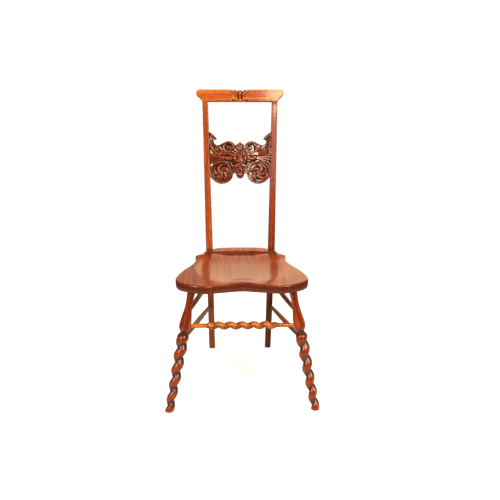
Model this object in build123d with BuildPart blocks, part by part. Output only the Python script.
"""Tall-back carved oak hall chair.

Millimetres. X is left to right, the front faces -Y and Z is up. The origin is on the floor, under the
middle of the chair. Pieces meet line to line: each socket is cut with the piece that goes into it.
"""

import math
import os

from build123d import *

# Seat
SEAT_UNDER = 403.0
SEAT_TOP = 434.0
RIM_TOP = 449.0
SEAT_EDGE_ROUND = 7.0
SEAT_UNDER_ROUND = 5.0
SEAT_DISH_DEPTH = 9.0
SEAT_DISH_HALF_WIDTH = 165.0
SEAT_DISH_CENTRE_Y = -45.0
BOARD_JOINT_X = 75.0

# Half outline of the seat, from the middle of the front edge round to the ear
SEAT_FRONT = (
    (0.0, -209.5),
    (62.0, -222.0),
    (127.0, -233.5),
    (180.0, -216.0),
    (214.0, -188.0),
    (224.0, -152.0),
    (208.0, -70.0),
    (178.0, 12.0),
    (167.0, 70.0),
    (170.4, 105.0),
)
EAR_INNER = (146.0, 113.0)
SEAT_BACK = ((132.0, 142.0), (107.0, 171.0), (70.0, 185.5), (0.0, 192.0))
RIM_FRONT_Y = 146.0
RIM_END = (131.0, 126.5)
RIM_EDGE_ROUND = 5.0
# How far the corner notch for a post runs on past its outer and back faces
NOTCH_GROWTH = 30.0

# Back posts, each one piece with its rear leg: height, X, Y, width and depth of level sections
POST_FOOT = (0.0, 116.5, 246.0, 23.5, 26.0)
POST_BEND = (435.0, 119.0, 151.8, 25.3, 31.0)
POST_TOP_Z = 1010.0
POST_TOP_WIDTH = 21.0
POST_TOP_DEPTH = 22.0
POST_SPREAD = 12.6 / 562.6
BACK_SLOPE = 115.2 / 562.6
POST_EDGE_ROUND = 2.0
POST_TENON = 12.0
POST_TENON_LENGTH = 30.0

# Crest rail, measured up the slope of the back from the bend in the posts
CREST_BOTTOM = 577.0
CREST_TOP = 621.5
CREST_HALF_WIDTH = 165.5
CREST_THICKNESS = 21.0

# Splat
SPLAT_BACK = -8.0
SPLAT_FRONT = 7.0
SPLAT_BOTTOM = 297.5
EAR_TIP = 465.0
ROSETTE = (73.0, 313.0)
ROSETTE_RADIUS = 40.0
MASK_CENTRE = 350.0
MASK_RADIUS = 46.0
MASK_HALF_HEIGHT = 62.0
MASK_CENTRE_DEPTH = -28.0
CARVED_RISE = 5.0

# Front legs
LEG_FOOT = (247.7, -264.5, 0.0)
LEG_TOP = (168.4, -195.6, SEAT_UNDER)
LEG_TENON_RADIUS = 11.0
LEG_TENON_LENGTH = 21.0
TWIST_TOP = 238.0
TWIST_PITCH = 50.5
TWIST_LEFT_AT = 193.5
TWIST_STEPS = 8
KNOB_CENTRE = 256.0
KNOB_RADIUS = 18.3
NECK_HEIGHT = 274.0
NECK_RADIUS = 12.2
# Radius and throw of the twist's circles at the toe and at the knob
TWIST_RADII = (12.0, 16.4)
TWIST_THROWS = (3.6, 4.2)
# Height along the leg and width across the flats
CLUB = ((278.0, 25.0), (285.3, 33.0), (291.5, 37.5), (297.7, 38.8), (306.0, 38.3), (320.5, 35.3),
        (336.0, 30.5), (349.4, 26.5), (364.0, 24.0), (378.0, 23.0), (393.0, 24.0))
CLUB_TOP_WIDTH = 26.5
# Share of the width taken by each corner, which leaves a regular octagon
CLUB_CHAMFER = 0.2929

# Stretchers
FRONT_STRETCHER_Z = 288.0
UPPER_STRETCHER_Z = (328.0, 322.0)
LOWER_STRETCHER_Z = (240.0, 205.0)
TENON_PAST_AXIS = 3.0
SIDE_TENON_RADIUS = 4.8
SIDE_MIDDLE_RADIUS = 9.0
SIDE_TENON_LENGTH = 20.0
FRONT_TENON_RADIUS = 5.0
FRONT_PLAIN_RADIUS = 7.4
FRONT_TWIST_HALF = 106.0
FRONT_TWIST_PITCH = 40.3
FRONT_TWIST_TOP_AT = 2.7
FRONT_TWIST_RADIUS = 9.6
FRONT_TWIST_THROW = 3.6

# Fastenings
DOWEL_RADIUS = 4.0
SEAT_DOWEL_LENGTH = 50.0
SEAT_DOWEL_Z = 412.0
SEAT_DOWEL_Y = (-165.0, -50.0, 65.0)
SPLAT_DOWEL_AT = (337.0, 385.0)
SPLAT_DOWEL_IN_POST = 12.0
SPLAT_DOWEL_IN_SPLAT = 20.0
PIN_RADIUS = 3.0
PIN_LENGTH = 16.0
SCREW_Z = 418.0
SCREW_RADIUS = 2.4
SCREW_HEAD_RADIUS = 4.5
SCREW_HEAD_LENGTH = 4.5
SCREW_LENGTH = 50.0
PLUG_RADIUS = 5.0
PLUG_LENGTH = 8.0
BRAD_RADIUS = 0.9
BRAD_LENGTH = 18.0
WEDGE_LENGTH = 14.0
WEDGE_THICKNESS = 3.0

SIDES = {"left": -1, "right": 1}
BEND_Z, BEND_X, BEND_Y, BEND_WIDTH, BEND_DEPTH = POST_BEND
BACK_ANGLE = math.atan(BACK_SLOPE)
UP_THE_BACK = Vector(0, math.sin(BACK_ANGLE), math.cos(BACK_ANGLE))
OUT_OF_THE_BACK = Vector(0, -math.cos(BACK_ANGLE), math.sin(BACK_ANGLE))
BACK = Plane(origin=(0, BEND_Y, BEND_Z), x_dir=(1, 0, 0), z_dir=OUT_OF_THE_BACK)
SHOULDER = Plane(origin=BACK.from_local_coords((0, CREST_BOTTOM, 0)), x_dir=(1, 0, 0), z_dir=UP_THE_BACK)


def on_line(start, end, height):
    """The point at a height on the straight line between two points."""
    share = (height - start[2]) / (end[2] - start[2])
    return tuple(a + (b - a) * share for a, b in zip(start, end))


def leg_axis(side, height):
    x, y, z = on_line(LEG_FOOT, LEG_TOP, height)
    return (side * x, y, z)


def rear_leg_axis(side, height):
    foot = (POST_FOOT[1], POST_FOOT[2], POST_FOOT[0])
    x, y, z = on_line(foot, (BEND_X, BEND_Y, BEND_Z), height)
    return (side * x, y, z)


def post_middle(slope):
    """X of a post's middle, at a distance up the slope of the back."""
    return BEND_X + POST_SPREAD * slope * math.cos(BACK_ANGLE)


def post_inner(slope):
    """X of a post's inner face, at a distance up the slope of the back."""
    share = slope * math.cos(BACK_ANGLE) / (POST_TOP_Z - BEND_Z)
    return post_middle(slope) - (BEND_WIDTH + (POST_TOP_WIDTH - BEND_WIDTH) * share) / 2


def axis_frame(start, end):
    """A plane at start with Z towards end, and X across the chair or, for a rail across it, upright."""
    along = (Vector(*end) - Vector(*start)).normalized()
    across = Vector(0, 0, 1) if abs(along.X) > 0.9 else Vector(1, 0, 0)
    across = (across - along * across.dot(along)).normalized()
    return Plane(origin=start, x_dir=across, z_dir=along)


def profile_plane(frame):
    """The plane of a frame's X and Z, where a turned profile is drawn as radius and height."""
    return Plane(origin=frame.origin, x_dir=frame.x_dir, z_dir=frame.y_dir * -1)


def post_loft(side, grow=0.0, mode=Mode.ADD):
    """Both lengths of a post. The inner and front faces stay where they are when it grows."""
    rise = POST_TOP_Z - BEND_Z
    top_x = BEND_X + POST_SPREAD * rise
    top_y = BEND_Y + BACK_SLOPE * rise
    top = (POST_TOP_Z, top_x, top_y, POST_TOP_WIDTH, POST_TOP_DEPTH)
    levels = []
    for height, x, y, width, depth in (POST_FOOT, POST_BEND, top):
        with BuildSketch(Plane.XY.offset(height)) as level:
            with Locations((side * (x + grow / 2), y + grow / 2)):
                RectangleRounded(width + grow, depth + grow, POST_EDGE_ROUND)
        levels.append(level.sketch)
    loft(levels, ruled=True, mode=mode)


def twist(frame, start, end, pitch, phase, radii, throws):
    """Circles whose centres follow a right-handed helix, lofted into a single-start barley twist."""
    count = round((end - start) / pitch * TWIST_STEPS)
    rounds = []
    for step in range(count + 1):
        share = step / count
        height = start + (end - start) * share
        angle = phase + 2 * math.pi * height / pitch
        radius = radii[0] + (radii[1] - radii[0]) * share
        throw = throws[0] + (throws[1] - throws[0]) * share
        with BuildSketch(frame.offset(height)) as section:
            with Locations((throw * math.cos(angle), throw * math.sin(angle))):
                Circle(radius)
        rounds.append(section.sketch)
    loft(rounds)


def tapered_rail(start, end):
    """A lens-shaped turned rail with a plain tenon at each end."""
    frame = axis_frame(start, end)
    length = (Vector(*end) - Vector(*start)).length
    first = -TENON_PAST_AXIS
    last = length + TENON_PAST_AXIS
    with BuildSketch(profile_plane(frame)) as profile:
        with BuildLine():
            Polyline((SIDE_TENON_RADIUS, SIDE_TENON_LENGTH), (SIDE_TENON_RADIUS, first), (0, first),
                     (0, last), (SIDE_TENON_RADIUS, last), (SIDE_TENON_RADIUS, length - SIDE_TENON_LENGTH))
            Spline((SIDE_TENON_RADIUS, length - SIDE_TENON_LENGTH), (SIDE_MIDDLE_RADIUS, length * 0.5),
                   (SIDE_TENON_RADIUS, SIDE_TENON_LENGTH))
        make_face()
    revolve(profile.sketch, axis=Axis(frame.origin, frame.z_dir))


# ---- Fastenings -------------------------------------------------------------------------------------

with BuildPart() as seat_edge_dowels:
    for side in SIDES.values():
        for y in SEAT_DOWEL_Y:
            with Locations(Location((side * BOARD_JOINT_X, y, SEAT_DOWEL_Z), (0, 90, 0))):
                Cylinder(DOWEL_RADIUS, SEAT_DOWEL_LENGTH)

with BuildPart() as splat_dowels:
    for side in SIDES.values():
        for slope in SPLAT_DOWEL_AT:
            middle = side * (post_inner(slope) + (SPLAT_DOWEL_IN_POST - SPLAT_DOWEL_IN_SPLAT) / 2)
            centre = BACK.from_local_coords((middle, slope, (SPLAT_BACK + SPLAT_FRONT) / 2))
            with BuildSketch(Plane(origin=centre, x_dir=UP_THE_BACK, z_dir=(1, 0, 0))):
                Circle(DOWEL_RADIUS)
            extrude(amount=(SPLAT_DOWEL_IN_POST + SPLAT_DOWEL_IN_SPLAT) / 2, both=True)

with BuildPart() as crest_pins:
    pin_slope = CREST_BOTTOM + POST_TENON_LENGTH / 2
    with BuildSketch(BACK.offset(-CREST_THICKNESS / 2)):
        with Locations((post_middle(pin_slope), pin_slope), (-post_middle(pin_slope), pin_slope)):
            Circle(PIN_RADIUS)
    extrude(amount=PIN_LENGTH)

post_back_y = rear_leg_axis(1, SCREW_Z)[1] + BEND_DEPTH / 2
screw_x = rear_leg_axis(1, SCREW_Z)[0]
with BuildPart() as post_seat_screws:
    for side in SIDES.values():
        seat_of_head = (side * screw_x, post_back_y - PLUG_LENGTH, SCREW_Z)
        head = Plane(origin=seat_of_head, x_dir=(1, 0, 0), z_dir=(0, -1, 0))
        with BuildSketch(head):
            Circle(SCREW_HEAD_RADIUS)
        with BuildSketch(head.offset(SCREW_HEAD_LENGTH)):
            Circle(SCREW_RADIUS)
        loft()
        with BuildSketch(head):
            Circle(SCREW_RADIUS)
        extrude(amount=SCREW_LENGTH)

with BuildPart() as screw_plugs:
    for side in SIDES.values():
        seat_of_head = (side * screw_x, post_back_y - PLUG_LENGTH, SCREW_Z)
        with BuildSketch(Plane(origin=seat_of_head, x_dir=(1, 0, 0), z_dir=(0, 1, 0))):
            Circle(PLUG_RADIUS)
        extrude(amount=PLUG_LENGTH)

with BuildPart() as stretcher_brads:
    for side in SIDES.values():
        for front_z, rear_z in (UPPER_STRETCHER_Z, LOWER_STRETCHER_Z):
            for x, y, z in (leg_axis(side, front_z), rear_leg_axis(side, rear_z)):
                with Locations(Location((x - side * BRAD_LENGTH / 6, y, z), (0, 90, 0))):
                    Cylinder(BRAD_RADIUS, BRAD_LENGTH)

# ---- Stretchers -------------------------------------------------------------------------------------

rails = {}
for name, side in SIDES.items():
    for level, (front_z, rear_z) in {"upper": UPPER_STRETCHER_Z, "lower": LOWER_STRETCHER_Z}.items():
        with BuildPart() as rail:
            tapered_rail(leg_axis(side, front_z), rear_leg_axis(side, rear_z))
            add(stretcher_brads.part, mode=Mode.SUBTRACT)
        rails[f"side_stretcher_{level}_{name}"] = rail

rail_start = leg_axis(-1, FRONT_STRETCHER_Z)
rail_end = leg_axis(1, FRONT_STRETCHER_Z)
rail_middle = (0, rail_start[1], FRONT_STRETCHER_Z)
with BuildPart() as front_stretcher:
    middle_frame = axis_frame(rail_middle, rail_end)
    phase = -2 * math.pi * FRONT_TWIST_TOP_AT / FRONT_TWIST_PITCH
    twist(middle_frame, -FRONT_TWIST_HALF, FRONT_TWIST_HALF, FRONT_TWIST_PITCH, phase,
          (FRONT_TWIST_RADIUS,) * 2, (FRONT_TWIST_THROW,) * 2)
    half = rail_end[0]
    for end in (-1, 1):
        with BuildSketch(profile_plane(middle_frame)):
            with BuildLine():
                inner = end * (FRONT_TWIST_HALF - 6)
                round_start = (FRONT_PLAIN_RADIUS, end * (half - 34))
                round_end = (FRONT_TENON_RADIUS, end * (half - 18))
                Polyline((0, inner), (FRONT_PLAIN_RADIUS, inner), round_start)
                ThreePointArc(round_start, (FRONT_PLAIN_RADIUS - 0.6, end * (half - 26)), round_end)
                Polyline(round_end, (FRONT_TENON_RADIUS, end * half), (0, end * half), (0, inner))
            make_face()
        revolve(axis=Axis(middle_frame.origin, middle_frame.z_dir))

# ---- Front legs -------------------------------------------------------------------------------------

leg_length = (Vector(*LEG_TOP) - Vector(*LEG_FOOT)).length
with BuildPart() as front_leg_wedges:
    for side in SIDES.values():
        frame = axis_frame(leg_axis(side, 0), leg_axis(side, SEAT_UNDER))
        tenon_top = leg_length + LEG_TENON_LENGTH
        with BuildSketch(profile_plane(frame)):
            Polygon((-WEDGE_THICKNESS / 2, tenon_top), (WEDGE_THICKNESS / 2, tenon_top),
                    (0, tenon_top - WEDGE_LENGTH), align=None)
        extrude(amount=LEG_TENON_RADIUS - 2, both=True)

front_legs = {}
for name, side in SIDES.items():
    frame = axis_frame(leg_axis(side, 0), leg_axis(side, SEAT_UNDER))
    spin = Axis(frame.origin, frame.z_dir)
    with BuildPart() as leg:
        phase = math.pi - 2 * math.pi * TWIST_LEFT_AT / TWIST_PITCH
        twist(frame, -6, TWIST_TOP, TWIST_PITCH, phase, TWIST_RADII, TWIST_THROWS)
        with BuildSketch(profile_plane(frame)):
            with BuildLine():
                Polyline((0, TWIST_TOP - 4), (KNOB_RADIUS - 2, TWIST_TOP - 4))
                ThreePointArc((KNOB_RADIUS - 2, TWIST_TOP - 4), (KNOB_RADIUS, KNOB_CENTRE - 8),
                              (NECK_RADIUS, NECK_HEIGHT - 3))
                Polyline((NECK_RADIUS, NECK_HEIGHT - 3), (NECK_RADIUS, NECK_HEIGHT + 5), (0, NECK_HEIGHT + 5),
                         (0, TWIST_TOP - 4))
            make_face()
        revolve(axis=spin)
        for height, width in CLUB + ((leg_length + 3, CLUB_TOP_WIDTH),):
            with BuildSketch(frame.offset(height)) as club:
                Rectangle(width, width)
                chamfer(club.vertices(), width * CLUB_CHAMFER)
        loft()
        split(bisect_by=Plane.XY, keep=Keep.TOP)
        split(bisect_by=Plane.XY.offset(SEAT_UNDER), keep=Keep.BOTTOM)
        with BuildSketch(frame.offset(leg_length - 12)):
            Circle(LEG_TENON_RADIUS)
        extrude(amount=LEG_TENON_LENGTH + 12)
        add(front_leg_wedges.part, mode=Mode.SUBTRACT)
        add(stretcher_brads.part, mode=Mode.SUBTRACT)
        add(front_stretcher.part, mode=Mode.SUBTRACT)
        for level in ("upper", "lower"):
            add(rails[f"side_stretcher_{level}_{name}"].part, mode=Mode.SUBTRACT)
    front_legs[name] = leg

# ---- Back posts -------------------------------------------------------------------------------------

back_posts = {}
for name, side in SIDES.items():
    with BuildPart() as post:
        post_loft(side)
        split(bisect_by=SHOULDER, keep=Keep.BOTTOM)
        with BuildSketch(SHOULDER):
            with Locations((side * post_middle(CREST_BOTTOM), 0)):
                Rectangle(POST_TENON, POST_TENON)
        extrude(amount=POST_TENON_LENGTH)
        for inserts in (crest_pins, splat_dowels, post_seat_screws, screw_plugs, stretcher_brads):
            add(inserts.part, mode=Mode.SUBTRACT)
        for level in ("upper", "lower"):
            add(rails[f"side_stretcher_{level}_{name}"].part, mode=Mode.SUBTRACT)
    back_posts[name] = post

# ---- Crest rail -------------------------------------------------------------------------------------

with BuildPart() as crest_rail:
    with BuildSketch(BACK.offset(-CREST_THICKNESS / 2)):
        with BuildLine():
            bottom = post_middle(CREST_BOTTOM) + POST_TOP_WIDTH / 2
            nose = (CREST_HALF_WIDTH, CREST_BOTTOM + 29)
            Line((-bottom, CREST_BOTTOM), (bottom, CREST_BOTTOM))
            Line((13 - CREST_HALF_WIDTH, CREST_TOP), (CREST_HALF_WIDTH - 13, CREST_TOP))
            for side in (-1, 1):
                under_nose = (side * (CREST_HALF_WIDTH - 5), CREST_BOTTOM + 20)
                hollow = (side * (bottom + 9), CREST_BOTTOM + 11.5)
                top_corner = (side * (CREST_HALF_WIDTH - 13), CREST_TOP)
                ThreePointArc((side * bottom, CREST_BOTTOM), hollow, under_nose)
                ThreePointArc(under_nose, (side * nose[0], nose[1]), top_corner)
        make_face()
    extrude(amount=CREST_THICKNESS)
    fillet(crest_rail.faces().sort_by(Axis(BACK.origin, OUT_OF_THE_BACK))[-1].edges(), 2)
    with BuildSketch(BACK.offset(CREST_THICKNESS / 2)):
        for side in (-1, 1):
            with Locations((side * 20, CREST_BOTTOM + 13)):
                Circle(9)
            with Locations((side * 22, CREST_TOP - 10)):
                Ellipse(8, 14)
    extrude(amount=-3, mode=Mode.SUBTRACT)
    for post in back_posts.values():
        add(post.part, mode=Mode.SUBTRACT)
    add(crest_pins.part, mode=Mode.SUBTRACT)

# ---- Splat ------------------------------------------------------------------------------------------

with BuildPart() as carved_splat:
    # The mask: the front of an egg shape whose middle lies behind the plate
    deep = BACK.offset(MASK_CENTRE_DEPTH)
    with BuildSketch(deep):
        with Locations((0, MASK_CENTRE)):
            Ellipse(MASK_RADIUS, MASK_HALF_HEIGHT)
        with Locations((-MASK_RADIUS, MASK_CENTRE)):
            Rectangle(2 * MASK_RADIUS, 2 * MASK_HALF_HEIGHT, mode=Mode.SUBTRACT)
    revolve(axis=Axis(deep.origin, UP_THE_BACK))
    split(bisect_by=BACK.offset(SPLAT_BACK + 1), keep=Keep.TOP)
    with BuildSketch(BACK.offset(SPLAT_BACK)):
        for side in (-1, 1):
            with BuildLine():
                ear_tip = (side * post_inner(EAR_TIP), EAR_TIP)
                corner = (side * post_inner(SPLAT_BOTTOM), SPLAT_BOTTOM)
                ThreePointArc((0, 290), (side * 12.5, 295.5), (side * 17, 309))
                Line((side * 17, 309), (side * 27.5, 310))
                Spline((side * 27.5, 310), (side * 28, 296), (side * 45, 276.5), (side * 74, 270.5),
                       (side * 99, 278.5), corner)
                Line(corner, ear_tip)
                Spline(ear_tip, (side * 100, 452), (side * 88, 438.5))
                ThreePointArc((side * 88, 438.5), (side * 95.5, 427), (side * 83, 413.5))
                Spline((side * 83, 413.5), (side * 70, 416), (side * 57, 425.5), (side * 43.5, 430),
                       (side * 28, 426), (side * 15, 414))
                Polyline((side * 15, 414), (0, 427.7), (0, 290))
            make_face()
    extrude(amount=SPLAT_FRONT - SPLAT_BACK)
    with BuildSketch(BACK.offset(SPLAT_FRONT)):
        for side in (-1, 1):
            with Locations((side * ROSETTE[0], ROSETTE[1])):
                Circle(ROSETTE_RADIUS)
                Circle(ROSETTE_RADIUS - 6, mode=Mode.SUBTRACT)
                Circle(13)
            with Locations((side * 42, 404)):
                Circle(22)
                Circle(15, mode=Mode.SUBTRACT)
                Circle(7)
    extrude(amount=CARVED_RISE)
    for post in back_posts.values():
        add(post.part, mode=Mode.SUBTRACT)
    add(splat_dowels.part, mode=Mode.SUBTRACT)

# ---- Seat -------------------------------------------------------------------------------------------

with BuildPart() as seat:
    with BuildSketch(Plane.XY.offset(SEAT_UNDER)):
        with BuildLine():
            for side in (-1, 1):
                front = [(side * x, y) for x, y in SEAT_FRONT]
                back = [(side * x, y) for x, y in SEAT_BACK]
                ear_inner = (side * EAR_INNER[0], EAR_INNER[1])
                Spline(*front, tangents=[(side, 0), (side * 0.2, 1)])
                Line(front[-1], ear_inner)
                Spline(ear_inner, *back, tangents=[(-side, 0.35), (-side, 0)])
        make_face()
    extrude(amount=SEAT_TOP - SEAT_UNDER)
    fillet(seat.faces().sort_by(Axis.Z)[-1].edges(), SEAT_EDGE_ROUND)
    fillet(seat.faces().sort_by(Axis.Z)[0].edges(), SEAT_UNDER_ROUND)
    # The dish: the bottom of a large sphere
    dish_radius = (SEAT_DISH_HALF_WIDTH ** 2 + SEAT_DISH_DEPTH ** 2) / (2 * SEAT_DISH_DEPTH)
    with Locations((0, SEAT_DISH_CENTRE_Y, SEAT_TOP - SEAT_DISH_DEPTH + dish_radius)):
        Sphere(dish_radius, mode=Mode.SUBTRACT)
    # The raised rim behind the sitter, which runs on as a ledge in front of the posts
    with BuildSketch(Plane.XY.offset(SEAT_TOP - SEAT_EDGE_ROUND)):
        with BuildLine():
            end_x, end_y = RIM_END
            ThreePointArc((-end_x, end_y), (0, RIM_FRONT_Y), (end_x, end_y))
            Line((end_x, end_y), (end_x, end_y + 18))
            Line((end_x, end_y + 18), (113, 164))
            Spline((113, 164), (70, 184), (0, 191), (-70, 184), (-113, 164))
            Line((-113, 164), (-end_x, end_y + 18))
            Line((-end_x, end_y + 18), (-end_x, end_y))
        make_face()
    extrude(amount=RIM_TOP - SEAT_TOP + SEAT_EDGE_ROUND)
    fillet(seat.faces().sort_by(Axis.Z)[-1].edges(), RIM_EDGE_ROUND)
    for name, side in SIDES.items():
        post_loft(side, grow=NOTCH_GROWTH, mode=Mode.SUBTRACT)
        add(front_legs[name].part, mode=Mode.SUBTRACT)
    for inserts in (front_leg_wedges, seat_edge_dowels, post_seat_screws):
        add(inserts.part, mode=Mode.SUBTRACT)

joint_right = Plane.YZ.offset(BOARD_JOINT_X)
joint_left = Plane.YZ.offset(-BOARD_JOINT_X)
with BuildPart() as seat_board_left:
    add(seat.part)
    split(bisect_by=joint_left, keep=Keep.BOTTOM)
with BuildPart() as seat_board_centre:
    add(seat.part)
    split(bisect_by=joint_left, keep=Keep.TOP)
    split(bisect_by=joint_right, keep=Keep.BOTTOM)
with BuildPart() as seat_board_right:
    add(seat.part)
    split(bisect_by=joint_right, keep=Keep.TOP)

# ---- Labels and files -------------------------------------------------------------------------------

pieces = {
    "seat_board_left": seat_board_left,
    "seat_board_centre": seat_board_centre,
    "seat_board_right": seat_board_right,
    "seat_edge_dowels": seat_edge_dowels,
    "back_post_left": back_posts["left"],
    "back_post_right": back_posts["right"],
    "front_leg_left": front_legs["left"],
    "front_leg_right": front_legs["right"],
    "front_leg_wedges": front_leg_wedges,
    "front_stretcher": front_stretcher,
    "crest_rail": crest_rail,
    "carved_splat": carved_splat,
    "splat_dowels": splat_dowels,
    "crest_pins": crest_pins,
    "post_seat_screws": post_seat_screws,
    "screw_plugs": screw_plugs,
    "stretcher_brads": stretcher_brads,
    **rails,
}
os.makedirs("parts", exist_ok=True)
for name, piece in pieces.items():
    piece.part.label = name
    export_step(piece.part, f"parts/{name}.step")
